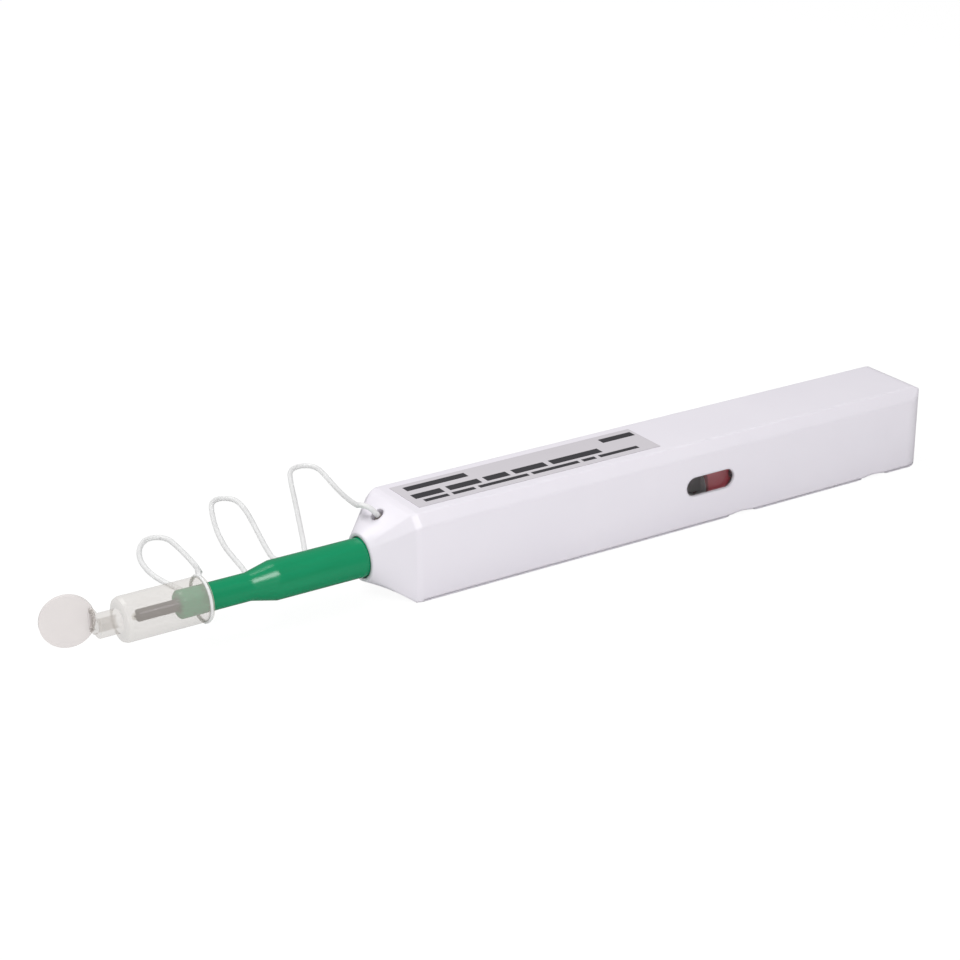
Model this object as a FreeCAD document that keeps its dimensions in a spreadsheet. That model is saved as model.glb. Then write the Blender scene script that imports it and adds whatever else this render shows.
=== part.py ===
"""Fibre connector cleaning pen.

Pressing the green nozzle into the white case turns the cleaning core with a helical groove and winds
fresh thread over its tip with a rack, a pinion and a take-up reel. A clear cap guides the tip onto a
2.5 mm ferrule, and a thin cord ties the cap to the case.

X runs along the pen, the tip towards -X; -Y is the window side; +Z is up. The origin is the centre of
the face that the case lies on. Sizes are millimetres and live in the sheet "dims".
"""
import FreeCAD, Part
import math
import os
import re
import Sketcher

DOC = FreeCAD.newDocument("fibre_cleaning_pen")
SHEET = DOC.addObject("Spreadsheet::Sheet", "dims")
VECTOR = FreeCAD.Vector

SIZES = {
    # Case: a straight body with bevelled top edges and a nose that narrows to a round collar.
    "case_front": -64.5,
    "case_length": 131.5,
    "case_width": 20.0,
    "case_height": 18.2,
    "case_wall": 1.6,
    "rear_wall": 3.0,
    "top_bevel_width": 2.1,
    "top_bevel_height": 2.3,
    "base_bevel": 0.15,
    "base_rim": 0.3,
    "parting_gap": 0.15,
    "nose_length": 8.5,
    "nose_lead": 1.3,
    "nose_lead_inset": 0.35,
    "collar_radius": 4.9,
    "rear_corner_radius": 5.2,
    "edge_radius": 0.6,
    "rear_edge_radius": 3.0,
    "base_floor": 2.0,
    "base_play": 0.2,
    # Notches in the lower edges, one ahead of the other.
    "notch_front_place": 79.6,
    "notch_rear_place": 116.7,
    "notch_radius": 13.6,
    "notch_depth": 0.7,
    # Window and label.
    "window_place": 70.9,
    "window_height_place": 9.15,
    "window_length": 12.5,
    "window_height": 4.3,
    "lens_play": 0.08,
    "lens_flange": 1.4,
    "lens_flange_thick": 0.7,
    "label_place": 1.8,
    "label_length": 58.8,
    "label_width": 11.4,
    "label_thick": 0.12,
    # Axis shared by the nozzle, the tip and the cap.
    "axis_height": 7.95,
    "bore_radius": 4.25,
    # Nozzle: places are measured forward from the front plane of the case body.
    "nozzle_tip_reach": 48.15,
    "nozzle_taper_front": 33.3,
    "nozzle_taper_rear": 28.0,
    "nozzle_radius": 4.0,
    "nozzle_tip_radius": 2.8,
    "nozzle_tail": 2.0,
    "nozzle_bore": 1.2,
    "tube_reach": 56.5,
    "tube_length": 18.0,
    "tube_radius": 1.2,
    "tube_bore": 0.92,
    "press_travel": 8.0,
    # Carriage behind the nozzle.
    "carriage_length": 24.0,
    "carriage_half_width": 6.2,
    "carriage_bottom": 2.3,
    "carriage_top": 13.4,
    "carriage_bore": 2.7,
    "carriage_cover_thick": 1.6,
    # Cleaning core with its helical groove, and the fixed pin that rides in the groove.
    "core_stand_out": 0.4,
    "core_radius": 0.75,
    "drum_front": 5.2,
    "drum_length": 20.6,
    "drum_radius": 2.45,
    "groove_lead": 16.0,
    "groove_width": 1.4,
    "groove_depth": 0.85,
    "cam_pin_place": 20.0,
    "cam_pin_radius": 0.5,
    "cam_pin_slot": 1.5,
    "loop_wire": 0.24,
    # Return spring and its stop.
    "spring_stop_place": 42.0,
    "spring_stop_thick": 1.2,
    "spring_radius": 3.6,
    "spring_wire": 0.27,
    "spring_turns": 5.0,
    # Rack, pinion and reels. The reels turn about Y.
    "reel_height_place": 9.0,
    "take_up_place": 51.0,
    "gear_module": 0.5,
    "pinion_teeth": 16,
    "gear_backlash": 0.16,
    "rack_place": 12.0,
    "rack_teeth": 9,
    "rack_bottom": 2.6,
    "rack_side": -8.2,
    "rack_width": 2.0,
    "flange_radius": 6.1,
    "flange_thick": 1.0,
    "pinion_width": 1.7,
    "hub_radius": 2.4,
    "axle_radius": 1.0,
    "axle_play": 0.06,
    "take_up_side": -6.0,
    "take_up_width": 12.4,
    "take_up_winding": 3.7,
    "ratchet_teeth": 12,
    "ratchet_outer": 5.1,
    "ratchet_inner": 4.4,
    "ratchet_depth": 1.3,
    "ratchet_floor": 0.7,
    "pawl_reach": 4.2,
    "pawl_hub_radius": 2.5,
    "pawl_width": 0.8,
    "supply_place": 78.0,
    "supply_side": -7.1,
    "supply_width": 14.4,
    "supply_flange_radius": 6.4,
    "supply_winding": 5.3,
    "thread_radius": 0.2,
    "feed_hole_height": 13.0,
    "guide_place": 62.0,
    "guide_radius": 0.8,
    "brake_thick": 0.4,
    "brake_height": 8.0,
    # Clear cap with its snout, and the lid on the snout.
    "cap_front_reach": 60.4,
    "cap_length": 17.8,
    "cap_radius": 4.5,
    "cap_bore": 3.0,
    "cap_chamber": 3.35,
    "cap_end_wall": 2.6,
    "cap_edge": 1.0,
    "snout_length": 4.45,
    "snout_radius": 2.4,
    "ferrule_bore": 1.27,
    "ring_place": 0.65,
    "ring_radius": 4.55,
    "ring_wire": 0.3,
    "lid_radius": 5.3,
    "lid_thick": 0.9,
    "lid_gap": 0.1,
    "lid_reach": 4.4,
    "lid_hinge_back": 0.4,
    "lid_hinge_side": 3.0,
    "lid_knuckle": 0.45,
    "lid_pin_radius": 0.25,
    "lug_radius": 0.42,
    "lug_thick": 0.7,
    "lid_knuckle_length": 3.0,
    "lid_open_angle": 105.0,
    # Cord hole on the sloping top of the nose, and the cord.
    "cord_hole_reach": 4.1,
    "cord_hole_side": 0.5,
    "cord_hole_radius": 1.4,
    "cord_hole_depth": 1.7,
    "knot_radius": 1.2,
    "knot_sink": 0.37,
    "cord_diameter": 1.1,
}


def fill_sheet():
    """Write every size to the sheet with its name as the alias."""
    for row, (name, number) in enumerate(SIZES.items(), start=1):
        SHEET.set(f"A{row}", name)
        SHEET.set(f"B{row}", str(number))
        SHEET.setAlias(f"B{row}", name)
    DOC.recompute()


def number(expression):
    """The value of a sheet expression."""
    result = SHEET.evalExpression(str(expression))
    return float(getattr(result, "Value", result))


def bind(item, **expressions):
    """Tie properties of an object to sheet expressions; a double underscore stands for a dot."""
    for name, expression in expressions.items():
        item.setExpression(name.replace("__", "."), str(expression))
    return item


def place(item, x="0", y="0", z="0"):
    """Tie an object's position to sheet expressions."""
    for axis, expression in (("x", x), ("y", y), ("z", z)):
        item.setExpression(f".Placement.Base.{axis}", str(expression))
    return item


fill_sheet()
SHEET_NAMES = {name: "dims." + name for name in SIZES}
AHEAD = "case_front"
HALF_WIDTH = "case_width / 2"
CORE_TIP = f"{AHEAD} - tube_reach - core_stand_out"


def sized(expression):
    """Point the size names in an expression at the sheet."""
    return re.sub(r"[a-z_]+", lambda word: SHEET_NAMES.get(word[0], word[0]), str(expression))


def box(name, x, y, z, length, width, height):
    """A block from its low corner and its three sizes."""
    item = DOC.addObject("Part::Box", name)
    bind(item, Length=sized(length), Width=sized(width), Height=sized(height))
    return place(item, sized(x), sized(y), sized(z))


def rod(name, along, x, y, z, length, radius):
    """A round rod that starts at a point and runs along X, Y or Z."""
    item = DOC.addObject("Part::Cylinder", name)
    if along == "X":
        item.Placement.Rotation = FreeCAD.Rotation(VECTOR(0, 1, 0), 90)
    if along == "Y":
        item.Placement.Rotation = FreeCAD.Rotation(VECTOR(1, 0, 0), -90)
    bind(item, Height=sized(length), Radius=sized(radius))
    return place(item, sized(x), sized(y), sized(z))


def fused(name, shapes):
    """One solid made of several that touch."""
    item = DOC.addObject("Part::MultiFuse", name)
    item.Shapes = shapes
    item.Refine = True
    return item


def cut(name, base, tools):
    """A solid with one or more tools taken away."""
    item = DOC.addObject("Part::Cut", name)
    item.Base = base
    item.Tool = tools[0] if len(tools) == 1 else fused(name + "_tools", tools)
    return item


def common(name, first, second):
    """What two solids share."""
    item = DOC.addObject("Part::Common", name)
    item.Base = first
    item.Tool = second
    return item


def outline(body, name, plane, corners, offset="0"):
    """A closed sketch of straight edges, each corner held by two sheet expressions."""
    sketch = body.newObject("Sketcher::SketchObject", name)
    origin = [item for item in body.Origin.OriginFeatures if item.Role == plane][0]
    sketch.AttachmentSupport = (origin, [""])
    sketch.MapMode = "FlatFace"
    sketch.setExpression(".AttachmentOffset.Base.z", sized(offset))
    points = [VECTOR(number(sized(x)), number(sized(y)), 0) for x, y in corners]
    for index, point in enumerate(points):
        sketch.addGeometry(Part.LineSegment(point, points[(index + 1) % len(points)]), False)
    for index in range(len(points)):
        sketch.addConstraint(Sketcher.Constraint("Coincident", index, 2, (index + 1) % len(points), 1))
    for index, (corner, point) in enumerate(zip(corners, points)):
        for kind, axis, expression, value in (("DistanceX", -2, corner[0], point.x),
                                              ("DistanceY", -1, corner[1], point.y)):
            if abs(value) < 1e-9:
                sketch.addConstraint(Sketcher.Constraint("PointOnObject", index, 1, axis))
                continue
            rule = sketch.addConstraint(Sketcher.Constraint(kind, -1, 1, index, 1, value))
            sketch.setExpression(f"Constraints[{rule}]", sized(expression))
    return sketch


def turned(name, corners):
    """A body turned about the pen's axis from an outline of (place along X, radius) corners."""
    body = DOC.addObject("PartDesign::Body", name)
    place(body, "0", "0", sized("axis_height"))
    sketch = outline(body, name + "_profile", "XZ_Plane", corners)
    turn = body.newObject("PartDesign::Revolution", name + "_turn")
    turn.Profile = sketch
    turn.ReferenceAxis = (sketch, ["H_Axis"])
    turn.Angle = 360
    return body


def case_section(inset="0"):
    """Corners of the case's cross-section: a box with bevelled upper edges and small lower bevels.

    The inset draws the sides and the top in, and leaves the bottom where it is."""
    half = f"( {HALF_WIDTH} - {inset} )"
    top = f"( case_height - {inset} )"
    return [
        (f"( base_bevel - {half} )", "0"),
        (f"( {half} - base_bevel )", "0"),
        (half, "base_bevel"),
        (half, f"{top} - top_bevel_height"),
        (f"( {half} - top_bevel_width )", top),
        (f"( top_bevel_width - {half} )", top),
        (f"( 0 - {half} )", f"{top} - top_bevel_height"),
        (f"( 0 - {half} )", "base_bevel"),
    ]


def rounded_block(name, upright, radius):
    """A block round the whole case whose rear edges are rounded: the upright ones, or those across it."""
    block = box(name + "_square", f"{AHEAD} - nose_length - 1", f"0 - {HALF_WIDTH}", "0",
                "case_length + nose_length + 1", "case_width", "case_height")
    DOC.recompute()
    rear = block.Shape.BoundBox.XMax
    edges = []
    for index, edge in enumerate(block.Shape.Edges, start=1):
        along = edge.tangentAt(edge.FirstParameter)
        chosen = abs(along.z if upright else along.y) > 0.9
        if chosen and edge.CenterOfMass.x > rear - 0.01:
            edges.append((index, number(radius), number(radius)))
    rounded = DOC.addObject("Part::Fillet", name)
    rounded.Base = block
    rounded.Edges = edges
    return rounded


def case_block():
    """The solid outer shape of the case: straight body, narrowing nose and rounded rear corners."""
    body = DOC.addObject("PartDesign::Body", "case_outer")
    section = outline(body, "case_section", "YZ_Plane", case_section(), AHEAD)
    pad = body.newObject("PartDesign::Pad", "case_straight")
    pad.Profile = section
    bind(pad, Length=sized("case_length"))
    collar = body.newObject("Sketcher::SketchObject", "collar_section")
    collar.AttachmentSupport = section.AttachmentSupport
    collar.MapMode = "FlatFace"
    collar.setExpression(".AttachmentOffset.Base.z", sized(f"{AHEAD} - nose_length"))
    middle = VECTOR(0, number("axis_height"), 0)
    angles = []
    for x, y in case_section():
        angles.append(math.atan2(number(sized(y)) - middle.y, number(sized(x))))
    for index, start in enumerate(angles):
        end = angles[(index + 1) % len(angles)]
        circle = Part.Circle(middle, VECTOR(0, 0, 1), number("collar_radius"))
        collar.addGeometry(Part.ArcOfCircle(circle, start, end if end > start else end + 2 * math.pi), False)
    lead = outline(body, "nose_lead_section", "YZ_Plane", case_section("nose_lead_inset"),
                   f"{AHEAD} - nose_lead")
    nose = body.newObject("PartDesign::AdditiveLoft", "case_nose")
    nose.Profile = section
    nose.Sections = [lead, collar]
    nose.Ruled = True
    in_plan = rounded_block("plan_block", True, "rear_corner_radius")
    from_side = rounded_block("side_block", False, "rear_edge_radius")
    return softened(common("case_block", common("case_in_plan", body, in_plan), from_side))


def softened(block):
    """The case with its long upper edges and the edges at the shoulder rounded a little."""
    DOC.recompute()
    front = number(AHEAD)
    radius = number("edge_radius")
    edges = []
    for index, edge in enumerate(block.Shape.Edges, start=1):
        span = edge.BoundBox
        middle = edge.CenterOfMass
        long_top = span.XLength > 50 and middle.z > number("axis_height")
        shoulder = span.XLength < 0.01 and abs(middle.x - front) < 0.01 and middle.z > number("base_rim")
        if long_top or shoulder:
            edges.append((index, radius, radius))
    soft = DOC.addObject("Part::Fillet", "case_softened")
    soft.Base = block
    soft.Edges = edges
    return soft


def cavity():
    """The room inside the case, with the same wall under the bevels as at the sides."""
    body = DOC.addObject("PartDesign::Body", "cavity")
    side = f"( {HALF_WIDTH} - case_wall )"
    shoulder = "case_height - top_bevel_height - 0.39 * case_wall"
    ridge = f"( {HALF_WIDTH} - top_bevel_width - 0.44 * case_wall )"
    section = outline(body, "cavity_section", "YZ_Plane", [
        (f"0 - {side}", "-1"), (side, "-1"), (side, shoulder), (ridge, "case_height - case_wall"),
        (f"0 - {ridge}", "case_height - case_wall"), (f"0 - {side}", shoulder)],
        f"{AHEAD} + case_wall")
    pad = body.newObject("PartDesign::Pad", "cavity_length")
    pad.Profile = section
    bind(pad, Length=sized("case_length - case_wall - rear_wall"))
    return body


def stadium(name, x, z, y, depth, length, height):
    """A slot-shaped bar along Y with its round ends ahead and behind, centred on a point."""
    radius = f"( {height} ) / 2"
    reach = f"( {length} ) / 2 - {radius}"
    middle = box(name + "_middle", f"{x} - ( {reach} )", y, f"{z} - {radius}",
                 f"2 * ( {reach} )", depth, height)
    front = rod(name + "_front", "Y", f"{x} - ( {reach} )", y, z, depth, radius)
    rear = rod(name + "_rear", "Y", f"{x} + {reach}", y, z, depth, radius)
    return fused(name, [middle, front, rear])


def notches(name):
    """Cutters for the two shallow notches in the lower edges of the case."""
    tools = []
    for tag, where in (("front", "notch_front_place"), ("rear", "notch_rear_place")):
        tools.append(rod(f"{name}_{tag}", "Y", f"{AHEAD} + {where}", f"0 - {HALF_WIDTH} - 1",
                         "notch_depth - notch_radius", "case_width + 2", "notch_radius"))
    return tools


def along_cord_hole(name, sink, length, radius):
    """A rod that starts below the mouth of the cord's hole and stands square to the nose's sloping top."""
    drop = "( case_height - nose_lead_inset - axis_height - collar_radius )"
    slope = f"( {drop} / ( nose_length - nose_lead ) )"
    fall = f"( nose_lead_inset + ( cord_hole_reach - nose_lead ) * {slope} )"
    tilt = f"atan( {slope} )"
    item = DOC.addObject("Part::Cylinder", name)
    item.Placement.Rotation = FreeCAD.Rotation(VECTOR(0, -1, 0), 30)
    bind(item, Height=sized(length), Radius=sized(radius))
    item.setExpression(".Placement.Rotation.Angle", sized(tilt))
    return place(item,
                 sized(f"{AHEAD} - cord_hole_reach + ( {sink} ) * sin( {tilt} )"),
                 sized("cord_hole_side"),
                 sized(f"case_height - {fall} - ( {sink} ) * cos( {tilt} )"))


def case_parts():
    """The case shell, its base cover, the window lens and the label plate."""
    block = case_block()
    below = "base_rim + parting_gap"
    shell = cut("case_shell", block, [
        box("parting_room", f"{AHEAD} + 0.1", f"0 - {HALF_WIDTH} - 1", "-1",
            "case_length + 1", "case_width + 2", f"1 + {below}"),
        cavity(),
        rod("nozzle_bore_cut", "X", f"{AHEAD} - nose_length - 1", "0", "axis_height",
            "nose_length + case_wall + 2", "bore_radius"),
        stadium("window_slot", f"{AHEAD} + window_place", "window_height_place",
                f"0 - {HALF_WIDTH} - 1", "case_wall + 2", "window_length", "window_height"),
        along_cord_hole("cord_hole", "cord_hole_depth", "cord_hole_depth + 2", "cord_hole_radius"),
    ] + notches("shell_notch"))
    rim = common("base_rim", block, box("base_slice", f"{AHEAD} + 0.1", f"0 - {HALF_WIDTH} - 1", "-1",
                                        "case_length + 1", "case_width + 2", "base_rim + 1"))
    plug = box("base_plug", f"{AHEAD} + case_wall + base_play",
               f"case_wall + base_play - {HALF_WIDTH}", "base_bevel / 2",
               "case_length - case_wall - rear_wall - 2 * base_play",
               "case_width - 2 * case_wall - 2 * base_play", "base_floor - base_bevel / 2")
    base = cut("base_cover", fused("base_plate", [rim, plug]), notches("base_notch"))
    lens_face = stadium("lens_face", f"{AHEAD} + window_place", "window_height_place",
                        f"0.1 - {HALF_WIDTH}", "case_wall", "window_length - 2 * lens_play",
                        "window_height - 2 * lens_play")
    lens_back = box("lens_back", f"{AHEAD} + window_place - window_length / 2 - lens_flange",
                    f"case_wall + 0.05 - {HALF_WIDTH}",
                    "window_height_place - window_height / 2 - lens_flange",
                    "window_length + 2 * lens_flange", "lens_flange_thick",
                    "window_height + 2 * lens_flange")
    lens = fused("window_lens", [lens_face, lens_back])
    label = box("label_plate", f"{AHEAD} + label_place", "0 - label_width / 2", "case_height",
                "label_length", "label_width", "label_thick")
    return {"case_shell": shell, "base_cover": base, "window_lens": lens, "label_plate": label}


def nozzle_parts():
    """The green nozzle with its steel tip tube."""
    tip = f"{AHEAD} - nozzle_tip_reach"
    barrel = turned("nozzle_barrel", [
        (tip, "nozzle_bore + 0.02"),
        (tip, "nozzle_tip_radius - 0.3"),
        (f"{tip} + 0.3", "nozzle_tip_radius"),
        (f"{AHEAD} - nozzle_taper_front", "nozzle_tip_radius"),
        (f"{AHEAD} - nozzle_taper_rear", "nozzle_radius"),
        (f"{AHEAD} + nozzle_tail", "nozzle_radius"),
        (f"{AHEAD} + nozzle_tail", "nozzle_bore + 0.02"),
    ])
    tube = turned("tip_tube", [
        (f"{AHEAD} - tube_reach", "tube_bore"),
        (f"{AHEAD} - tube_reach", "tube_radius - 0.1"),
        (f"{AHEAD} - tube_reach + 0.1", "tube_radius"),
        (f"{AHEAD} - tube_reach + tube_length", "tube_radius"),
        (f"{AHEAD} - tube_reach + tube_length", "tube_bore"),
    ])
    return {"nozzle_barrel": barrel, "tip_tube": tube}


def carriage_parts():
    """The carriage behind the nozzle, its rear cover and the rack on its side."""
    front = f"{AHEAD} + nozzle_tail"
    rear = f"{front} + carriage_length"
    block = box("carriage_block", front, "0 - carriage_half_width", "carriage_bottom",
                "carriage_length", "2 * carriage_half_width",
                "carriage_top - carriage_bottom")
    carriage = cut("carriage", block, [
        rod("carriage_bore_cut", "X", f"{front} + 3", "0", "axis_height", "carriage_length",
            "carriage_bore"),
        rod("carriage_rod_cut", "X", f"{front} - 1", "0", "axis_height", "5", "core_radius + 0.25"),
        box("carriage_pin_slot", f"{AHEAD} + cam_pin_place - press_travel - 1.2",
            "0 - cam_pin_slot / 2", "carriage_bottom - 1", "press_travel + 2.4", "cam_pin_slot",
            "axis_height - carriage_bottom"),
    ])
    cover = cut("carriage_cover",
                box("cover_plate", rear, "0 - carriage_half_width",
                    "carriage_bottom", "carriage_cover_thick", "2 * carriage_half_width",
                    "carriage_top - carriage_bottom"),
                [rod("cover_hole", "X", f"{rear} - 1", "0", "axis_height",
                     "carriage_cover_thick + 2", "core_radius")])
    return {"carriage": carriage, "carriage_cover": cover, "drive_rack": rack()}


def padded_on(body, sketch, name, thickness):
    """Give a sketch of a body its thickness along the sketch's normal."""
    pad = body.newObject("PartDesign::Pad", name)
    pad.Profile = sketch
    bind(pad, Length=sized(thickness))
    body.Tip = pad
    return pad


def ring(body, name, low_side, thickness, outer, inner):
    """Pad a ring about the body's own Y axis, from its low side along Y."""
    sketch = body.newObject("Sketcher::SketchObject", name + "_section")
    origin = [item for item in body.Origin.OriginFeatures if item.Role == "XZ_Plane"][0]
    sketch.AttachmentSupport = (origin, [""])
    sketch.MapMode = "FlatFace"
    sketch.setExpression(".AttachmentOffset.Base.z", sized(f"0 - ( {low_side} ) - ( {thickness} )"))
    for index, radius in enumerate((outer, inner)):
        circle = Part.Circle(VECTOR(0, 0, 0), VECTOR(0, 0, 1), number(sized(radius)))
        sketch.addGeometry(circle, False)
        sketch.addConstraint(Sketcher.Constraint("Coincident", index, 3, -1, 1))
        rule = sketch.addConstraint(Sketcher.Constraint("Radius", index, circle.Radius))
        sketch.setExpression(f"Constraints[{rule}]", sized(radius))
    return padded_on(body, sketch, name, thickness)


def around(body, feature, name, count):
    """Repeat a feature evenly about the body's own Y axis."""
    pattern = body.newObject("PartDesign::PolarPattern", name)
    pattern.Originals = [feature]
    pattern.Axis = (feature.Profile[0], ["N_Axis"])
    pattern.Angle = 360
    bind(pattern, Occurrences=sized(count))
    body.Tip = pattern
    DOC.recompute()
    return pattern


FLANK_SLOPE = 0.36397
TOOTH_HALF = "( pi * gear_module / 4 - gear_backlash / 4 )"


def tooth(root, tip, middle="0"):
    """Corners of a straight-sided gear tooth that stands on its root line."""
    half_root = f"( {TOOTH_HALF} + {FLANK_SLOPE} * 1.25 * gear_module )"
    half_tip = f"( {TOOTH_HALF} - {FLANK_SLOPE} * gear_module )"
    return [(f"{middle} - {half_root}", root), (f"{middle} + {half_root}", root),
            (f"{middle} + {half_tip}", tip), (f"{middle} - {half_tip}", tip)]


def rack():
    """A bar with straight teeth that turns the pinion as the carriage slides."""
    body = DOC.addObject("PartDesign::Body", "drive_rack")
    pitch_line = "reel_height_place - gear_module * pinion_teeth / 2"
    root = f"{pitch_line} - 1.25 * gear_module"
    start = f"{AHEAD} + rack_place"
    end = f"{AHEAD} + take_up_place + 4"
    side = "0 - rack_side - rack_width"
    bar = outline(body, "rack_bar", "XZ_Plane", [
        (start, "rack_bottom"), (end, "rack_bottom"), (end, root), (start, root)], side)
    padded_on(body, bar, "rack_bar_pad", "rack_width")
    pitch = "pi * gear_module"
    first_middle = f"{AHEAD} + take_up_place - 6 * {pitch}"
    profile = outline(body, "rack_tooth", "XZ_Plane",
                      tooth(f"{root} - 0.1", f"{pitch_line} + gear_module", first_middle), side)
    first = padded_on(body, profile, "rack_tooth_pad", "rack_width")
    row = body.newObject("PartDesign::LinearPattern", "rack_row")
    row.Originals = [first]
    row.Direction = (profile, ["H_Axis"])
    bind(row, Length=sized(f"( rack_teeth - 1 ) * {pitch}"), Occurrences=sized("rack_teeth"))
    body.Tip = row
    return body


def core_parts():
    """The turning cleaning core, its helical groove, and the thread loop over its tip."""
    blank = turned("core_blank", [
        (CORE_TIP, "0"),
        (CORE_TIP, "core_radius"),
        (f"{AHEAD} + drum_front", "core_radius"),
        (f"{AHEAD} + drum_front", "drum_radius"),
        (f"{AHEAD} + drum_front + drum_length", "drum_radius"),
        (f"{AHEAD} + drum_front + drum_length", "0"),
    ])
    steps = 18
    first = -0.9
    last = number("press_travel") + 0.9
    cutters = []
    for index in range(steps + 1):
        travel = first + (last - first) * index / steps
        cutter = DOC.addObject("Part::Cylinder", f"groove_step_{index}")
        angle = f"( 180 deg - 360 deg * {travel:.4f} / groove_lead )"
        bind(cutter, Height=sized("2 * groove_depth"), Radius=sized("groove_width / 2"))
        cutter.Placement.Rotation = FreeCAD.Rotation(VECTOR(1, 0, 0), 10)
        cutter.setExpression(".Placement.Rotation.Angle", sized(angle))
        reach = "( drum_radius - groove_depth )"
        place(cutter,
              sized(f"{AHEAD} + cam_pin_place - {travel:.4f}"),
              sized(f"0 - {reach} * sin( {angle} )"),
              sized(f"axis_height + {reach} * cos( {angle} )"))
        cutters.append(cutter)
    core = cut("tip_core", blank, cutters)
    loop = DOC.addObject("Part::Torus", "tip_thread")
    loop.Placement.Rotation = FreeCAD.Rotation(VECTOR(0, 0, 1), VECTOR(-1, 0, 0), VECTOR(0, -1, 0), "XYZ")
    bind(loop, Radius1=sized("core_radius - loop_wire"), Radius2=sized("loop_wire"))
    loop.Angle3 = 180
    place(loop, sized(CORE_TIP), "0", sized("axis_height"))
    return {"tip_core": core, "tip_thread": loop}


def pin_and_stop_parts():
    """The pin that turns the core, the spring and the plate that the spring stands on."""
    pin = rod("cam_pin", "Z", f"{AHEAD} + cam_pin_place", "0", "base_floor",
              "axis_height - drum_radius + groove_depth - 0.15 - base_floor", "cam_pin_radius")
    plate = box("stop_plate", f"{AHEAD} + spring_stop_place", "rack_side + rack_width + 0.3",
                "base_floor", "spring_stop_thick",
                f"{HALF_WIDTH} - case_wall - rack_side - rack_width - 0.3",
                "case_height - case_wall - top_bevel_height - base_floor")
    holes = []
    for tag, height, radius in (("core", "axis_height", "core_radius + 0.25"),
                                ("feed", "feed_hole_height", "2 * thread_radius"),
                                ("return", RETURN_HEIGHT, "2 * thread_radius")):
        holes.append(rod(f"stop_hole_{tag}", "X", f"{AHEAD} + spring_stop_place - 1", "0", height,
                         "spring_stop_thick + 2", radius))
    stop = cut("spring_stop", plate, holes)
    rear = "nozzle_tail + carriage_length + carriage_cover_thick"
    path = DOC.addObject("Part::Helix", "spring_path")
    path.Placement.Rotation = FreeCAD.Rotation(VECTOR(0, 1, 0), 90)
    rise = f"( spring_stop_place - ( {rear} ) - 2 * spring_wire - 0.1 )"
    bind(path, Height=sized(rise), Pitch=sized(f"{rise} / spring_turns"), Radius=sized("spring_radius"))
    place(path, sized(f"{AHEAD} + {rear} + spring_wire + 0.05"), "0", sized("axis_height"))
    wire = DOC.addObject("Part::Circle", "spring_section")
    wire.Placement.Rotation = FreeCAD.Rotation(VECTOR(1, 0, 0), 90)
    bind(wire, Radius=sized("spring_wire"))
    place(wire, sized(f"{AHEAD} + {rear} + spring_wire + 0.05"), "0", sized("axis_height - spring_radius"))
    DOC.recompute()
    spring = DOC.addObject("Part::Sweep", "return_spring")
    spring.Sections = [wire]
    spring.Spine = (path, ["Edge1"])
    spring.Solid = True
    spring.Frenet = True
    return {"cam_pin": pin, "spring_stop": stop, "return_spring": spring}


RETURN_HEIGHT = "reel_height_place - take_up_winding - thread_radius - 0.02"
FEED_HEIGHT = "reel_height_place + supply_winding + thread_radius + 0.02"


def pinion():
    """The pinion with three ratchet fingers on its inner side."""
    body = DOC.addObject("PartDesign::Body", "drive_pinion")
    body.Placement.Rotation = FreeCAD.Rotation(VECTOR(0, 1, 0), 10)
    body.setExpression(".Placement.Rotation.Angle", sized("180 deg / pinion_teeth"))
    place(body, sized(f"{AHEAD} + take_up_place"), "0", sized("reel_height_place"))
    bore = "axle_radius + axle_play"
    root = "gear_module * ( pinion_teeth / 2 - 1.25 )"
    tip = "gear_module * ( pinion_teeth / 2 + 1 )"
    ring(body, "pinion_disc", "rack_side", "pinion_width", root, bore)
    profile = outline(body, "pinion_tooth", "XZ_Plane", tooth(f"{root} - 0.1", tip),
                      "0 - rack_side - pinion_width")
    first = padded_on(body, profile, "pinion_tooth_pad", "pinion_width")
    around(body, first, "pinion_teeth_row", "pinion_teeth")
    fingers = "take_up_side + 0.1"
    depth = "ratchet_depth - 0.3"
    ring(body, "pawl_hub", "rack_side + pinion_width",
         f"{fingers} + {depth} - rack_side - pinion_width", "pawl_hub_radius", bore)
    bar = outline(body, "pawl_finger", "XZ_Plane", [
        ("0 - pawl_width / 2", "pawl_hub_radius - 0.3"), ("pawl_width / 2", "pawl_hub_radius - 0.3"),
        ("pawl_width / 2", "pawl_reach"), ("0 - pawl_width / 2", "pawl_reach - pawl_width")],
        f"0 - ( {fingers} ) - ( {depth} )")
    finger = padded_on(body, bar, "pawl_finger_pad", depth)
    around(body, finger, "pawl_fingers", "3")
    return body


def saw_teeth(count, valley, crest):
    """Corners of a saw-toothed circle: each tooth climbs slowly and drops at once."""
    corners = []
    for index in range(count):
        for step, radius in ((0, valley), (0.96, crest)):
            turn = f"( {(index + step) / count:.5f} * 360 deg )"
            corners.append((f"( {radius} ) * cos( {turn} )", f"( {radius} ) * sin( {turn} )"))
    return corners


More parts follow.
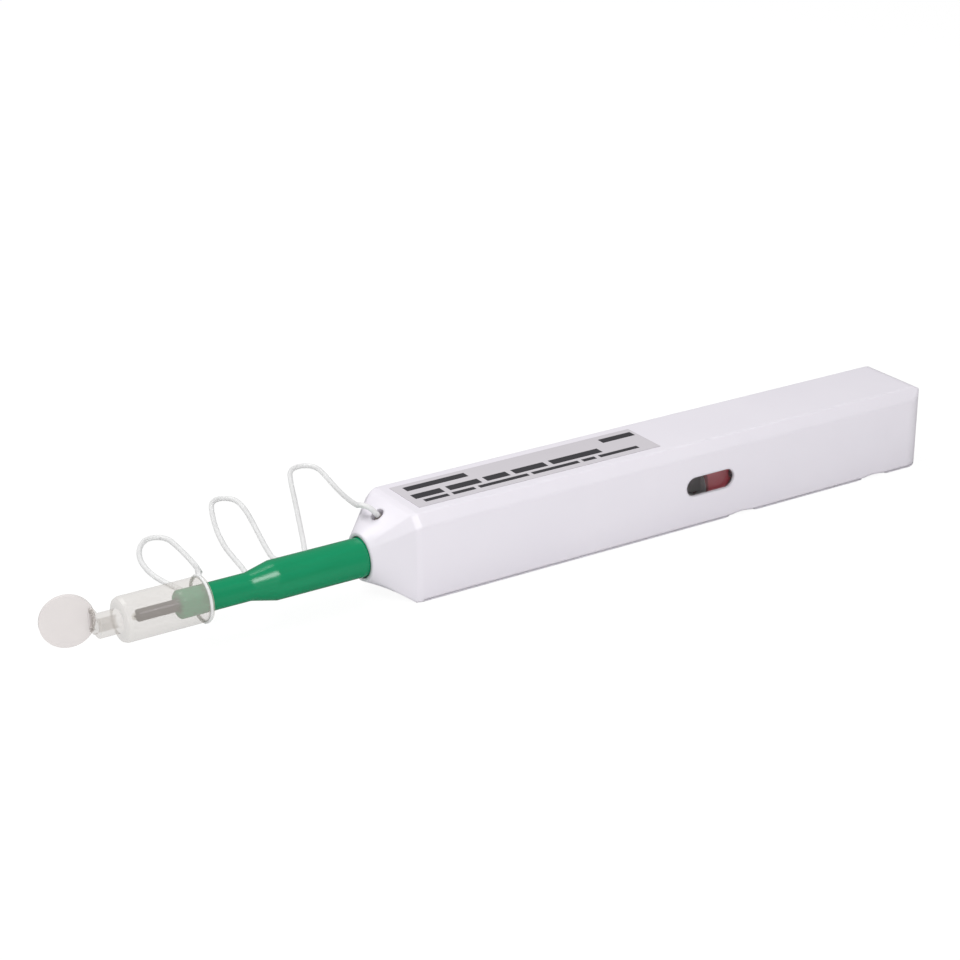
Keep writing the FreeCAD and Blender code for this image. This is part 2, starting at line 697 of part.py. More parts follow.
def take_up_reel():
    """The reel for used thread, with a ratchet recess near and a saw-toothed flange far."""
    body = DOC.addObject("PartDesign::Body", "take_up_reel")
    place(body, sized(f"{AHEAD} + take_up_place"), "0", sized("reel_height_place"))
    bore = "axle_radius + axle_play"
    near = "take_up_side"
    floor = f"{near} + ratchet_depth"
    hub = f"{floor} + ratchet_floor"
    far = "take_up_side + take_up_width - flange_thick"
    teeth = number("ratchet_teeth")
    ring(body, "near_flange", near, "ratchet_depth + ratchet_floor", "flange_radius", bore)
    ring(body, "take_up_hub", hub, f"{far} - ( {hub} )", "hub_radius", bore)
    saw = outline(body, "far_flange_saw", "XZ_Plane",
                  saw_teeth(round(teeth), "flange_radius - 0.6", "flange_radius"),
                  f"0 - ( {far} ) - flange_thick")
    padded_on(body, saw, "far_flange", "flange_thick")
    inner = outline(body, "recess_saw", "XZ_Plane",
                    saw_teeth(round(teeth), "ratchet_outer", "ratchet_inner"),
                    f"0 - ( {floor} )")
    recess = body.newObject("PartDesign::Pocket", "ratchet_recess")
    recess.Profile = inner
    recess.Reversed = True
    bind(recess, Length=sized("ratchet_depth"))
    body.Tip = recess
    DOC.recompute()
    middle = body.newObject("Sketcher::SketchObject", "far_bore_section")
    middle.AttachmentSupport = saw.AttachmentSupport
    middle.MapMode = "FlatFace"
    middle.setExpression(".AttachmentOffset.Base.z", sized(f"0 - ( {far} ) - flange_thick"))
    middle.addGeometry(Part.Circle(VECTOR(0, 0, 0), VECTOR(0, 0, 1), number(sized(bore))), False)
    middle.addConstraint(Sketcher.Constraint("Coincident", 0, 3, -1, 1))
    rule = middle.addConstraint(Sketcher.Constraint("Radius", 0, number(sized(bore))))
    middle.setExpression(f"Constraints[{rule}]", sized(bore))
    drill = body.newObject("PartDesign::Pocket", "far_bore")
    drill.Profile = middle
    drill.Reversed = True
    drill.Type = "ThroughAll"
    drill.Midplane = True
    body.Tip = drill
    return body


def supply_reel():
    """The reel that holds fresh thread, with two plain flanges."""
    body = DOC.addObject("PartDesign::Body", "supply_reel")
    place(body, sized(f"{AHEAD} + supply_place"), "0", sized("reel_height_place"))
    bore = "axle_radius + axle_play"
    far = "supply_side + supply_width - flange_thick"
    ring(body, "supply_near_flange", "supply_side", "flange_thick", "supply_flange_radius", bore)
    ring(body, "supply_hub", "supply_side + flange_thick", "supply_width - 2 * flange_thick",
         "hub_radius", bore)
    ring(body, "supply_far_flange", far, "flange_thick", "supply_flange_radius", bore)
    return body


def winding(name, x, low_side, width, radius):
    """Thread wound on a reel, as one thick sleeve."""
    body = DOC.addObject("PartDesign::Body", name)
    place(body, sized(f"{AHEAD} + {x}"), "0", sized("reel_height_place"))
    ring(body, name + "_sleeve", low_side, width, radius, "hub_radius + 0.03")
    return body


def reel_parts():
    """The pinion, both reels, their windings and axles, and what guides and brakes the thread."""
    parts = {"drive_pinion": pinion(), "take_up_reel": take_up_reel(), "supply_reel": supply_reel()}
    hub = "take_up_side + ratchet_depth + ratchet_floor"
    parts["take_up_thread"] = winding(
        "take_up_thread", "take_up_place", f"{hub} + 0.1",
        "take_up_width - ratchet_depth - ratchet_floor - flange_thick - 0.2", "take_up_winding")
    parts["supply_thread"] = winding(
        "supply_thread", "supply_place", "supply_side + flange_thick + 0.1",
        "supply_width - 2 * flange_thick - 0.2", "supply_winding")
    inside = f"case_wall - {HALF_WIDTH}"
    behind_lens = f"( {inside} + lens_flange_thick + 0.2 )"
    for name, x, side in (("take_up_axle", "take_up_place", inside),
                          ("supply_axle", "supply_place", behind_lens)):
        parts[name] = rod(name, "Y", f"{AHEAD} + {x}", side, "reel_height_place",
                          f"{HALF_WIDTH} - case_wall - ( {side} )", "axle_radius")
    parts["thread_guide"] = rod("thread_guide", "Y", f"{AHEAD} + guide_place", inside,
                                f"{FEED_HEIGHT} - ( {FEED_HEIGHT} - feed_hole_height ) * "
                                "( supply_place - guide_place ) / ( supply_place - spring_stop_place ) "
                                "- thread_radius - guide_radius - 0.05",
                                "case_width - 2 * case_wall", "guide_radius")
    parts["anti_reverse_pawl"] = box(
        "anti_reverse_pawl", f"{AHEAD} + spring_stop_place + spring_stop_thick",
        "take_up_side + take_up_width - flange_thick + 0.1", "reel_height_place - 2.4",
        "take_up_place - spring_stop_place - spring_stop_thick - flange_radius + 0.2",
        "flange_thick - 0.2", "0.5")
    parts["supply_brake"] = box(
        "supply_brake", f"{AHEAD} + supply_place + supply_flange_radius + 0.1", "-3", "base_floor",
        "brake_thick", "6", "brake_height")
    parts["return_thread"] = rod(
        "return_thread", "X", f"{AHEAD} + spring_stop_place", "0", RETURN_HEIGHT,
        "take_up_place - spring_stop_place", "thread_radius")
    run = "( supply_place - spring_stop_place )"
    fall = f"( {FEED_HEIGHT} - feed_hole_height )"
    feed = DOC.addObject("Part::Cylinder", "feed_thread")
    feed.Placement.Rotation = FreeCAD.Rotation(VECTOR(0, 1, 0), 87)
    feed.setExpression(".Placement.Rotation.Angle", sized(f"90 deg - atan( {fall} / {run} )"))
    bind(feed, Height=sized(f"sqrt( {run} * {run} + {fall} * {fall} )"), Radius=sized("thread_radius"))
    place(feed, sized(f"{AHEAD} + spring_stop_place"), "0", sized("feed_hole_height"))
    parts["feed_thread"] = feed
    return parts


CAP_FRONT = f"{AHEAD} - cap_front_reach"
CAP_REAR = f"{CAP_FRONT} + cap_length"
MOUTH = f"{CAP_FRONT} - snout_length"


def cap_parts():
    """The clear cap, its tether ring, and the lid with its hinge on the snout."""
    groove = f"{CAP_REAR} - ring_place"
    half = "( ring_wire + 0.03 )"
    floor = "ring_radius - ring_wire - 0.05"
    body = turned("cap_body", [
        (MOUTH, "ferrule_bore"),
        (MOUTH, "snout_radius - 0.2"),
        (f"{MOUTH} + 0.2", "snout_radius"),
        (CAP_FRONT, "snout_radius"),
        (CAP_FRONT, "cap_radius - cap_edge"),
        (f"{CAP_FRONT} + 0.29 * cap_edge", "cap_radius - 0.29 * cap_edge"),
        (f"{CAP_FRONT} + cap_edge", "cap_radius"),
        (f"{groove} - {half}", "cap_radius"),
        (f"{groove} - {half}", floor),
        (f"{groove} + {half}", floor),
        (f"{groove} + {half}", "cap_radius"),
        (CAP_REAR, "cap_radius"),
        (CAP_REAR, "cap_bore"),
        (f"{CAP_REAR} - 6.4", "cap_bore"),
        (f"{CAP_REAR} - 6.4", "cap_chamber"),
        (f"{CAP_FRONT} + cap_end_wall", "cap_chamber"),
        (f"{CAP_FRONT} + cap_end_wall", "ferrule_bore"),
    ])
    hinge_x = f"{MOUTH} + lid_hinge_back"
    half_knuckle = "lid_knuckle_length / 2"
    lugs = []
    for tag, low in (("upper", f"axis_height + {half_knuckle} + 0.1"),
                     ("lower", f"axis_height - {half_knuckle} - 0.1 - lug_thick")):
        lugs.append(rod(f"lug_{tag}", "Z", hinge_x, "lid_hinge_side", low, "lug_thick", "lug_radius"))
        lugs.append(box(f"lug_web_{tag}", f"{hinge_x} - lug_radius + 0.02", "ferrule_bore", low,
                        "2 * lug_radius - 0.04", "lid_hinge_side - ferrule_bore", "lug_thick"))
    drill = rod("lug_drill", "Z", hinge_x, "lid_hinge_side", f"axis_height - {half_knuckle} - 2",
                "lid_knuckle_length + 4", "lid_pin_radius + 0.02")
    clear = rod("web_drill", "X", f"{MOUTH} - 1", "0", "axis_height", "snout_length", "ferrule_bore")
    cap = cut("guide_cap", fused("cap_with_lugs", [body] + lugs), [drill, clear])
    pin = rod("lid_pin", "Z", hinge_x, "lid_hinge_side",
              f"axis_height - {half_knuckle} - 0.1 - lug_thick",
              "lid_knuckle_length + 0.2 + 2 * lug_thick", "lid_pin_radius")
    tether_ring = DOC.addObject("Part::Torus", "tether_ring")
    tether_ring.Placement.Rotation = FreeCAD.Rotation(VECTOR(0, 1, 0), 90)
    bind(tether_ring, Radius1=sized("ring_radius"), Radius2=sized("ring_wire"))
    place(tether_ring, sized(groove), "0", sized("axis_height"))
    return {"guide_cap": cap, "lid_pin": pin, "tether_ring": tether_ring, "cap_lid": lid(hinge_x)}


def lid(hinge_x):
    """The lid, modelled shut about its hinge at the origin and then swung open."""
    back = "0 - lid_hinge_back - lid_gap"
    disc = rod("lid_disc", "X", f"{back} - lid_thick", "0 - lid_reach", "0", "lid_thick", "lid_radius")
    knuckle = rod("lid_knuckle_rod", "Z", "0", "0", "0 - lid_knuckle_length / 2", "lid_knuckle_length",
                  "lid_knuckle")
    arm = box("lid_arm", f"{back} - 0.1", "0 - lid_knuckle", "0 - lid_knuckle_length / 2",
              "lid_hinge_back + lid_gap + 0.1", "2 * lid_knuckle", "lid_knuckle_length")
    drill = rod("lid_drill", "Z", "0", "0", "0 - lid_knuckle_length", "2 * lid_knuckle_length",
                "lid_pin_radius + 0.05")
    item = cut("cap_lid", fused("lid_with_knuckle", [disc, arm, knuckle]), [drill])
    item.Placement.Rotation = FreeCAD.Rotation(VECTOR(0, 0, -1), 100)
    item.setExpression(".Placement.Rotation.Angle", sized("lid_open_angle * 1 deg"))
    return place(item, sized(hinge_x), sized("lid_hinge_side"), sized("axis_height"))


# The cord's route, from the knot in the nose to the ring on the cap. It lies on the floor in loops.
CORD_ROUTE = [
    (-68.4, 0.5, 15.6),
    (-69.8, 0.5, 17.6),
    (-71.2, 2.4, 17.9),
    (-69.6, 6.5, 15.9),
    (-66.0, 13.0, 12.8),
    (-62.1, 21.0, 9.3),
    (-58.2, 30.0, 6.0),
    (-54.6, 39.0, 3.1),
    (-51.6, 47.5, 1.1),
    (-49.7, 55.0, 0.6),
    (-48.8, 60.4, 0.6),
    (-50.2, 62.9, 0.6),
    (-52.8, 63.4, 0.6),
    (-55.1, 61.8, 0.6),
    (-57.6, 56.8, 0.6),
    (-61.4, 48.2, 0.6),
    (-66.6, 36.6, 0.6),
    (-71.4, 26.0, 0.6),
    (-73.9, 20.8, 0.6),
    (-76.4, 19.3, 0.6),
    (-79.1, 20.1, 0.6),
    (-80.3, 22.7, 0.6),
    (-79.1, 27.8, 0.6),
    (-76.6, 36.4, 0.6),
    (-74.2, 44.6, 0.6),
    (-73.0, 49.6, 0.6),
    (-72.5, 53.7, 0.6),
    (-73.6, 56.0, 0.6),
    (-75.8, 56.8, 0.6),
    (-77.8, 55.3, 0.6),
    (-79.8, 51.2, 0.6),
    (-82.9, 43.4, 0.6),
    (-85.6, 34.6, 0.6),
    (-86.9, 27.0, 0.6),
    (-87.8, 20.5, 0.6),
    (-90.0, 15.6, 0.6),
    (-93.8, 12.8, 0.6),
    (-98.2, 13.4, 0.6),
    (-101.6, 17.0, 0.6),
    (-103.4, 22.6, 0.6),
    (-104.4, 29.0, 0.6),
    (-103.7, 35.6, 0.6),
    (-102.0, 40.4, 0.6),
    (-100.0, 43.7, 0.6),
    (-97.7, 45.9, 0.6),
    (-95.2, 45.6, 0.6),
    (-93.8, 43.4, 0.6),
    (-93.9, 39.2, 0.6),
    (-94.5, 33.0, 0.7),
    (-95.8, 26.5, 1.4),
    (-97.5, 22.0, 2.7),
    (-99.4, 17.5, 4.6),
    (-101.4, 13.3, 6.7),
    (-103.5, 9.4, 8.9),
    (-105.4, 5.9, 11.0),
    (-106.8, 3.0, 12.7),
    (-107.75, 0.9, 13.5),
]


def cord():
    """A tube of straight runs joined by tangent arcs along the route."""
    points = [VECTOR(*point) for point in CORD_ROUTE]
    edges = []
    radii = []
    start = points[0]
    for before, corner, after in zip(points, points[1:], points[2:]):
        towards = (corner - before).normalize()
        onwards = (after - corner).normalize()
        turn = towards.getAngle(onwards)
        setback = 0.45 * min((corner - before).Length, (after - corner).Length)
        radius = setback / math.tan(turn / 2)
        inward = (onwards - towards).normalize()
        halfway = corner + inward * (radius / math.cos(turn / 2) - radius)
        enter = corner - towards * setback
        leave = corner + onwards * setback
        edges.append(Part.LineSegment(start, enter).toShape())
        edges.append(Part.Arc(enter, halfway, leave).toShape())
        radii.append(round(radius, 1))
        start = leave
    edges.append(Part.LineSegment(start, points[-1]).toShape())
    path = Part.Wire(edges)
    radius = number("cord_diameter / 2")
    circle = Part.Circle(points[0], points[1] - points[0], radius)
    section = Part.Wire([circle.toShape()])
    tube = path.makePipeShell([section], True, True)
    item = DOC.addObject("Part::Feature", "tether_cord")
    item.Shape = tube
    print("cord radii", radii)
    print("cord length", round(path.Length, 1), "volume share",
          round(tube.Volume / (math.pi * radius ** 2 * path.Length), 4))
    return item


def cord_parts():
    """The knot in the nose's hole and the cord that leaves it."""
    knot = along_cord_hole("tether_knot", "cord_hole_depth - 0.05",
                           "cord_hole_depth - 0.05 - knot_sink", "knot_radius")
    return {"tether_knot": knot, "tether_cord": cord()}


def check(parts):
    """Stop if any object failed to build or any part is missing, broken or not one solid."""
    for item in DOC.Objects:
        if "Invalid" in item.State or "Error" in item.State:
            raise RuntimeError(f"{item.Name} failed: {item.State}")
    for name, item in parts.items():
        if item.Shape.isNull() or not item.Shape.isValid():
            raise RuntimeError(f"{name} has no valid shape")
        if len(item.Shape.Solids) != 1:
            raise RuntimeError(f"{name} has {len(item.Shape.Solids)} solids")


def main():
    """Build every sub-part and write each one to its own file."""
    parts = {}
    for group in (case_parts, nozzle_parts, carriage_parts, core_parts, pin_and_stop_parts, reel_parts,
                  cap_parts, cord_parts):
        parts.update(group())
    DOC.recompute()
    check(parts)
    os.makedirs("parts", exist_ok=True)
    for name, item in parts.items():
        item.Label = name
        item.Shape.exportStep(f"parts/{name}.step")
    print(len(parts), "parts written")


main()
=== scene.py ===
"""Looks of a fibre connector cleaning pen: white case, green nozzle, milky cap with its lid open, and a cord."""

import bmesh
import bpy
import numpy as np
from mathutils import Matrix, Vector


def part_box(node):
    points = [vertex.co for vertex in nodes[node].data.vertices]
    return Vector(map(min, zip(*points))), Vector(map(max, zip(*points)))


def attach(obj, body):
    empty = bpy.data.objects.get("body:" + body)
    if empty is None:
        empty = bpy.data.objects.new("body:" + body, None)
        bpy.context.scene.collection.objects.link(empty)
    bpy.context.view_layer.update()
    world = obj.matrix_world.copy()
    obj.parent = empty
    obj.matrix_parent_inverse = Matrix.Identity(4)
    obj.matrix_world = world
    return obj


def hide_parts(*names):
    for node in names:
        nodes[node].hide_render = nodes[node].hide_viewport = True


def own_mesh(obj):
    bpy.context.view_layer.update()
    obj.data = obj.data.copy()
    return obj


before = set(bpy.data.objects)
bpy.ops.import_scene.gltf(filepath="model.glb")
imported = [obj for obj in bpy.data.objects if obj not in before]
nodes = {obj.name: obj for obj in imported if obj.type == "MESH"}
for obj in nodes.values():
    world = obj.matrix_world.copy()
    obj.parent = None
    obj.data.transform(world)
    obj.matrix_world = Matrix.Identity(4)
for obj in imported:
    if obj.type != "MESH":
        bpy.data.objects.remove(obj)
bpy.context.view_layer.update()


# ---------------------------------------------------------------- Camera
# A long lens looks down on the window side of the pen from ahead of the tip's end. It is aimed a little
# ahead of the middle of the pen's length, at half its height.
lens = bpy.data.cameras.new("camera")
lens.lens = 89.27
lens.sensor_width = 36.0
lens.clip_start = 0.01
camera = bpy.data.objects.new("camera", lens)
camera.location = (-0.28456, -0.36997, 0.20344)
aim = Vector((-0.04484, 0.0, 0.01799)) - camera.location
camera.rotation_euler = aim.to_track_quat("-Z", "Y").to_euler()
bpy.context.collection.objects.link(camera)
bpy.context.scene.camera = camera


# ---------------------------------------------------------------- Tether cord
# A limp extruded nylon cord, 1.1 mm thick, knotted inside the nose and tied to the ring on the cap.
# It lies on the table in three loops behind the pen, and its thinned end lies along the top of the ring.
MM = 0.001
CORD_DIAMETER = 1.1 * MM
CORD_ROUTE_MM = [
    (-68.4, 0.5, 15.6),
    (-69.8, 0.5, 17.6),
    (-71.2, 2.4, 17.9),
    (-69.6, 6.5, 15.9),
    (-66.0, 13.0, 12.8),
    (-62.1, 21.0, 9.3),
    (-58.2, 30.0, 6.0),
    (-54.6, 39.0, 3.1),
    (-51.6, 47.5, 1.1),
    (-49.7, 55.0, 0.6),
    (-48.8, 60.4, 0.6),
    (-50.2, 62.9, 0.6),
    (-52.8, 63.4, 0.6),
    (-55.1, 61.8, 0.6),
    (-57.6, 56.8, 0.6),
    (-61.4, 48.2, 0.6),
    (-66.6, 36.6, 0.6),
    (-71.4, 26.0, 0.6),
    (-73.9, 20.8, 0.6),
    (-76.4, 19.3, 0.6),
    (-79.1, 20.1, 0.6),
    (-80.3, 22.7, 0.6),
    (-79.1, 27.8, 0.6),
    (-76.6, 36.4, 0.6),
    (-74.2, 44.6, 0.6),
    (-73.0, 49.6, 0.6),
    (-72.5, 53.7, 0.6),
    (-73.6, 56.0, 0.6),
    (-75.8, 56.8, 0.6),
    (-77.8, 55.3, 0.6),
    (-79.8, 51.2, 0.6),
    (-82.9, 43.4, 0.6),
    (-85.6, 34.6, 0.6),
    (-86.9, 27.0, 0.6),
    (-87.8, 20.5, 0.6),
    (-90.0, 15.6, 0.6),
    (-93.8, 12.8, 0.6),
    (-98.2, 13.4, 0.6),
    (-101.6, 17.0, 0.6),
    (-103.4, 22.6, 0.6),
    (-104.4, 29.0, 0.6),
    (-103.7, 35.6, 0.6),
    (-102.0, 40.4, 0.6),
    (-100.0, 43.7, 0.6),
    (-97.7, 45.9, 0.6),
    (-95.2, 45.6, 0.6),
    (-93.8, 43.4, 0.6),
    (-93.9, 39.2, 0.6),
    (-94.5, 33.0, 0.7),
    (-95.8, 26.5, 1.4),
    (-97.5, 22.0, 2.7),
    (-99.4, 17.5, 4.6),
    (-101.4, 13.3, 6.7),
    (-103.5, 9.4, 8.9),
    (-105.4, 5.9, 11.0),
    (-106.65, 2.9, 12.0),
    (-107.5, 0.8, 12.45),
    (-107.75, -0.4, 12.48),
]


def linear(colour):
    """An sRGB hex colour as linear red, green, blue and alpha."""
    parts = np.array([int(colour[place:place + 2], 16) / 255 for place in (1, 3, 5)])
    straight = np.where(parts <= 0.04045, parts / 12.92, ((parts + 0.055) / 1.055) ** 2.4)
    return tuple(straight.tolist()) + (1.0,)


def add(material, kind, inputs=None, **settings):
    """Add one node: settings are its properties, inputs are plain values or the sockets that feed it."""
    node = material.node_tree.nodes.new(kind)
    for name, value in settings.items():
        setattr(node, name, value)
    for name, value in (inputs or {}).items():
        if isinstance(value, bpy.types.NodeSocket):
            material.node_tree.links.new(value, node.inputs[name])
        else:
            node.inputs[name].default_value = value
    return node


def blank(name):
    """A new material with nothing but its output node, and that node's surface socket."""
    material = bpy.data.materials.new(name)
    material.use_nodes = True
    material.node_tree.nodes.clear()
    output = add(material, "ShaderNodeOutputMaterial")
    return material, output.inputs["Surface"]


def nylon_cord():
    """Extruded nylon: milky and softly lit from within, with slow faint changes of shade and thickness."""
    material, surface = blank("extruded_nylon")
    place = add(material, "ShaderNodeTexCoord").outputs["Object"]
    marks = add(material, "ShaderNodeTexNoise", {"Vector": place, "Scale": 1 / (6 * MM), "Detail": 1.0})
    shade = add(material, "ShaderNodeMix", {"Factor": marks.outputs["Fac"], 6: linear("#DCDCDC"),
                                            7: linear("#EAEAEA")}, data_type="RGBA")
    dents = add(material, "ShaderNodeBump", {"Height": marks.outputs["Fac"], "Strength": 0.15,
                                             "Distance": 0.02 * MM})
    skin = add(material, "ShaderNodeBsdfPrincipled", {
        "Base Color": shade.outputs[2], "Roughness": 0.45, "IOR": 1.53, "Subsurface Weight": 0.7,
        "Subsurface Radius": (1.0, 1.0, 1.0), "Subsurface Scale": 0.5 * MM,
        "Normal": dents.outputs["Normal"]})
    material.node_tree.links.new(skin.outputs[0], surface)
    return material


cord_points = np.array(CORD_ROUTE_MM) * MM
cord_curve = bpy.data.curves.new("tether", "CURVE")
cord_curve.dimensions = "3D"
cord_curve.bevel_depth = CORD_DIAMETER / 2
cord_curve.bevel_resolution = 5
cord_curve.resolution_u = 10
cord_curve.use_fill_caps = True
spline = cord_curve.splines.new("NURBS")
spline.points.add(len(cord_points) - 1)
spline.points.foreach_set("co", np.c_[cord_points, np.ones(len(cord_points))].ravel())
end_thinning = (0.75, 0.5)
for place, share in zip((-2, -1), end_thinning):
    spline.points[place].radius = share
spline.order_u = 3
spline.use_endpoint_u = True
cord = bpy.data.objects.new("tether", cord_curve)
bpy.context.collection.objects.link(cord)
nylon = nylon_cord()
cord_curve.materials.append(nylon)
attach(cord, "housing")
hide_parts("tether_cord")


def surface_of(name, grid, closed_around=False, closed_along=False, smooth=True):
    """A mesh of quads on a grid of points, rows by columns, with its ends joined where it closes."""
    rows, columns = grid.shape[:2]
    number = np.arange(rows * columns).reshape(rows, columns)
    if closed_along:
        number = np.vstack([number, number[:1]])
    if closed_around:
        number = np.hstack([number, number[:, :1]])
    quads = np.stack([number[:-1, :-1], number[:-1, 1:], number[1:, 1:], number[1:, :-1]], axis=-1)
    mesh = bpy.data.meshes.new(name)
    mesh.from_pydata(grid.reshape(-1, 3).tolist(), [], quads.reshape(-1, 4).tolist())
    mesh.shade_smooth() if smooth else mesh.shade_flat()
    piece = bpy.data.objects.new(name, mesh)
    bpy.context.collection.objects.link(piece)
    return piece


def tube_along(name, path, radius, sides=12):
    """A closed loop of tube: circles of one radius stand square to a closed path, point by point."""
    ahead = np.roll(path, -1, axis=0) - np.roll(path, 1, axis=0)
    ahead /= np.linalg.norm(ahead, axis=1, keepdims=True)
    outward = path - path.mean(axis=0)
    outward -= (outward * ahead).sum(axis=1, keepdims=True) * ahead
    outward /= np.linalg.norm(outward, axis=1, keepdims=True)
    across = np.cross(ahead, outward)
    turn = np.linspace(0, 2 * np.pi, sides, endpoint=False)[None, :, None]
    ring = np.cos(turn) * outward[:, None, :] + np.sin(turn) * across[:, None, :]
    return surface_of(name, path[:, None, :] + radius * ring, closed_around=True, closed_along=True)


def grey_brown_knot_nylon():
    """The knot's nylon: brown-grey, darker in random patches of half a millimetre."""
    material, surface = blank("grey_brown_knot_nylon")
    place = add(material, "ShaderNodeTexCoord").outputs["Object"]
    burns = add(material, "ShaderNodeTexNoise", {"Vector": place, "Scale": 1 / (0.5 * MM), "Detail": 2.0})
    shade = add(material, "ShaderNodeMix", {"Factor": burns.outputs["Fac"], 6: linear("#4E4743"),
                                            7: linear("#B4ABA6")}, data_type="RGBA")
    skin = add(material, "ShaderNodeBsdfPrincipled", {
        "Base Color": shade.outputs[2], "Roughness": 0.45, "IOR": 1.53})
    material.node_tree.links.new(skin.outputs[0], surface)
    return material


# The knot is a trefoil, drawn tight in the hole: x = sin t + 2 sin 2t, y = cos t - 2 cos 2t, z = -sin 3t.
# It faces out of the nose's top slope, which leans 34.8 degrees, and stands a little proud of it.
knot_size = 0.215 * MM
knot_strand = 0.33 * MM
knot_proud = 0.1 * MM
knot_low, knot_high = (np.array(corner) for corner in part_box("tether_knot"))
lean = np.radians(34.8)
out = np.array([-np.sin(lean), 0.0, np.cos(lean)])
side = np.array([0.0, 1.0, 0.0])
down = np.cross(side, out)
step = np.linspace(0, 2 * np.pi, 96, endpoint=False)
wide = knot_size * (np.sin(step) + 2 * np.sin(2 * step))
tall = knot_size * (np.cos(step) - 2 * np.cos(2 * step))
deep = -knot_size * np.sin(3 * step)
knot_path = (knot_low + knot_high) / 2 + knot_proud * out + np.outer(wide, side) + np.outer(tall, down)
knot = tube_along("knot", knot_path + np.outer(deep, out), knot_strand)
knot.data.materials.append(grey_brown_knot_nylon())
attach(knot, "housing")
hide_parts("tether_knot")


# ---------------------------------------------------------------- Case and base cover
# Two mouldings in white ABS with a faint lavender cast, from a spark-eroded mould.
# The eye sees a satin skin with a fine grain, and three faint sink marks on the window side.
def moulded(name, colour, shade, roughness, ior, grain, depth, sinks=(), edge=0.05 * MM):
    """Moulded plastic: a slow change of shade, an eroded grain, softened edges and shallow round dips."""
    material, surface = blank(name)
    place = add(material, "ShaderNodeTexCoord").outputs["Object"]
    cloud = add(material, "ShaderNodeTexNoise", {"Vector": place, "Scale": 1 / (18 * MM), "Detail": 2.0})
    tint = add(material, "ShaderNodeMix", {"Factor": cloud.outputs["Fac"], 6: linear(colour),
                                           7: linear(shade)}, data_type="RGBA")
    pits = add(material, "ShaderNodeTexNoise", {"Vector": place, "Scale": 1 / grain, "Detail": 2.0})
    soft = add(material, "ShaderNodeBevel", {"Radius": edge}, samples=6)
    normal = add(material, "ShaderNodeBump", {"Height": pits.outputs["Fac"], "Strength": 0.35,
                                              "Distance": depth, "Normal": soft.outputs["Normal"]})
    for sink in sinks:
        near = add(material, "ShaderNodeVectorMath", {0: place, 1: sink}, operation="DISTANCE")
        dip = add(material, "ShaderNodeMapRange", {"Value": near.outputs["Value"], "From Max": 2.5 * MM},
                  interpolation_type="SMOOTHSTEP")
        normal = add(material, "ShaderNodeBump", {"Height": dip.outputs["Result"], "Strength": 1.0,
                                                  "Distance": 0.06 * MM, "Normal": normal.outputs["Normal"]})
    skin = add(material, "ShaderNodeBsdfPrincipled", {
        "Base Color": tint.outputs[2], "Roughness": roughness, "IOR": ior, "Normal": normal.outputs["Normal"]})
    material.node_tree.links.new(skin.outputs[0], surface)
    return material


def dress(material, *names):
    """Give nodes of the frame a material."""
    for name in names:
        nodes[name].data.materials.clear()
        nodes[name].data.materials.append(material)


# The middles of the sink marks, in metres. They are a guess: such faint marks could also be reflections.
case_sinks = [(0.0118, -0.010, 0.0145), (0.0564, -0.010, 0.0091), (-0.0099, -0.010, 0.0146)]
white_abs = moulded("moulded_white_abs", "#EAE6ED", "#E4E0E8", 0.36, 1.54, 0.3 * MM, 0.006 * MM,
                    case_sinks, 0.7 * MM)
dress(white_abs, "case_shell", "base_cover")


# ---------------------------------------------------------------- Label
# A silver-grey film glued to the top of the case. Its printed lines are plain dark bars, screen printed
# with a thick ink, so they stand a hair above the film.
film = moulded("satin_polyester_film", "#C8C3C9", "#D0CCD1", 0.42, 1.58, 0.5 * MM, 0.002 * MM)
dress(film, "label_plate")

INK_THICK = 0.02 * MM
LABEL_BARS_MM = [
    # Left end and right end from the label's front edge, middle and height across it, word by word.
    (2.2, 16.6, 3.3, 2.0), (49.8, 58.0, 3.1, 2.0),
    (1.6, 8.4, -0.8, 2.2), (9.7, 17.2, -0.8, 2.2), (18.5, 24.0, -0.8, 2.2), (25.3, 33.2, -0.8, 2.2),
    (34.5, 46.8, -0.8, 2.2),
    (2.6, 8.2, -3.5, 1.2), (9.2, 14.4, -3.5, 1.2), (15.4, 27.2, -3.5, 1.2), (28.2, 39.6, -3.5, 1.2),
    (40.6, 43.8, -3.5, 1.2), (44.8, 54.6, -3.5, 1.2),
]


def printed_bars(name, bars, low, high):
    """Flat plates of ink on a film: each bar is a box of six faces, its foot sunk in the film."""
    left, right, middle, height = (np.array(bars) * MM).T
    near, far = middle - height / 2, middle + height / 2
    plan = np.stack([np.stack([left, near], -1), np.stack([right, near], -1),
                     np.stack([right, far], -1), np.stack([left, far], -1)], axis=1)
    plan = plan + np.array([low[0], 0.0])
    top = np.concatenate([plan, np.full(plan.shape[:2] + (1,), high[2] + INK_THICK)], axis=2)
    foot = np.concatenate([plan, np.full(plan.shape[:2] + (1,), high[2] - INK_THICK)], axis=2)
    corners = np.concatenate([foot, top], axis=1).reshape(-1, 3)
    sides = [[3, 2, 1, 0], [4, 5, 6, 7], [0, 1, 5, 4], [1, 2, 6, 5], [2, 3, 7, 6], [3, 0, 4, 7]]
    faces = (np.array(sides)[None] + 8 * np.arange(len(bars))[:, None, None]).reshape(-1, 4)
    mesh = bpy.data.meshes.new(name)
    mesh.from_pydata(corners.tolist(), [], faces.tolist())
    piece = bpy.data.objects.new(name, mesh)
    bpy.context.collection.objects.link(piece)
    return piece


ink = moulded("screen_printed_ink", "#2B292E", "#38363B", 0.5, 1.5, 0.4 * MM, 0.004 * MM)
bars = printed_bars("label_print", LABEL_BARS_MM, *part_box("label_plate"))
bars.data.materials.append(ink)
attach(bars, "housing")


